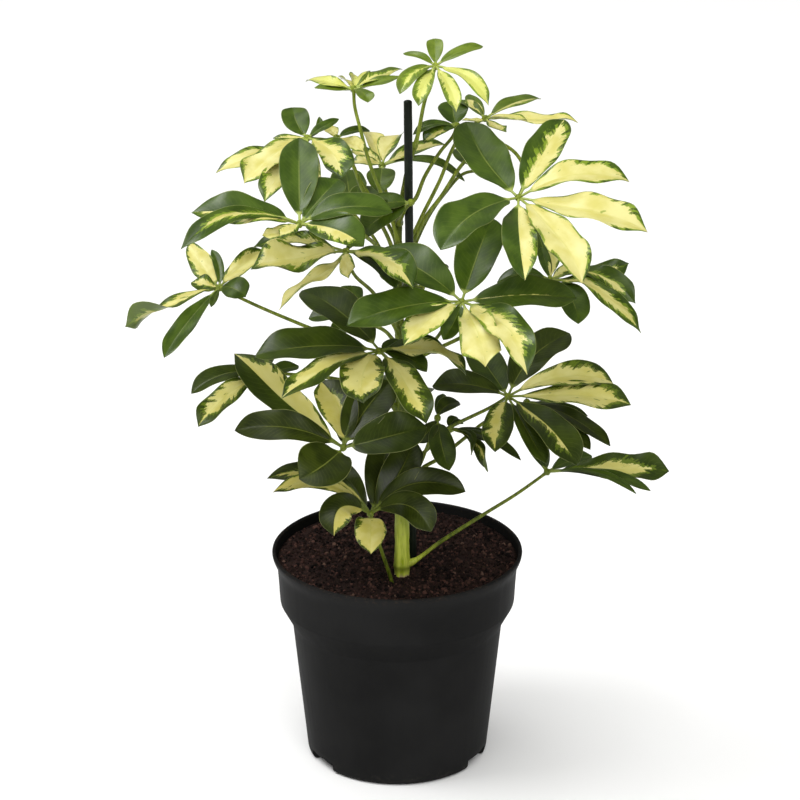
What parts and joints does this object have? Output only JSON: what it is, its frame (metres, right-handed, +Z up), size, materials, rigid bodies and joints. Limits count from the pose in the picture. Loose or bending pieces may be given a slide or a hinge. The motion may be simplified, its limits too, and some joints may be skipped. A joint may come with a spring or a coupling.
{
  "type": "potted umbrella plant",
  "caption": "Young variegated umbrella plant with palm-shaped compound leaves on long stalks, an upright trunk and support stake, standing in a round nursery pot of soil.",
  "frame": {"origin": "centre of the pot's underside, on the surface it stands on", "axes": "+Z up along the pot axis; -Y towards the side of the plant that is seen in the picture, +X to its right"},
  "size_m": [0.354, 0.2842, 0.4976],
  "materials": {
    "pot": "matte black injection-moulded polypropylene",
    "soil": "dark brown peat potting mix, crumbly and dull",
    "stake": "dark green-black stained support cane, smooth",
    "stem": "yellow-green living stem, satin",
    "leaf": "glossy green leaflets with cream-yellow variegation"
  },
  "bodies": {
    "root": {"pot": "pot", "soil": "soil", "stake": "stake", "trunk": "stem", "leaf_01": "leaf", "leaf_02": "leaf", "leaf_03": "leaf", "leaf_04": "leaf", "leaf_05": "leaf", "leaf_06": "leaf", "leaf_07": "leaf", "leaf_08": "leaf", "leaf_09": "leaf", "leaf_10": "leaf", "leaf_11": "leaf", "leaf_12": "leaf", "leaf_13": "leaf", "leaf_14": "leaf", "leaf_15": "leaf", "leaf_16": "leaf", "leaf_17": "leaf", "leaf_18": "leaf", "leaf_19": "leaf", "leaf_20": "leaf", "leaf_21": "leaf", "leaf_22": "leaf", "leaf_23": "leaf", "leaf_24": "leaf", "leaf_25": "leaf", "leaf_26": "leaf", "leaf_27": "leaf", "leaf_28": "leaf"}
  },
  "joints": []
}
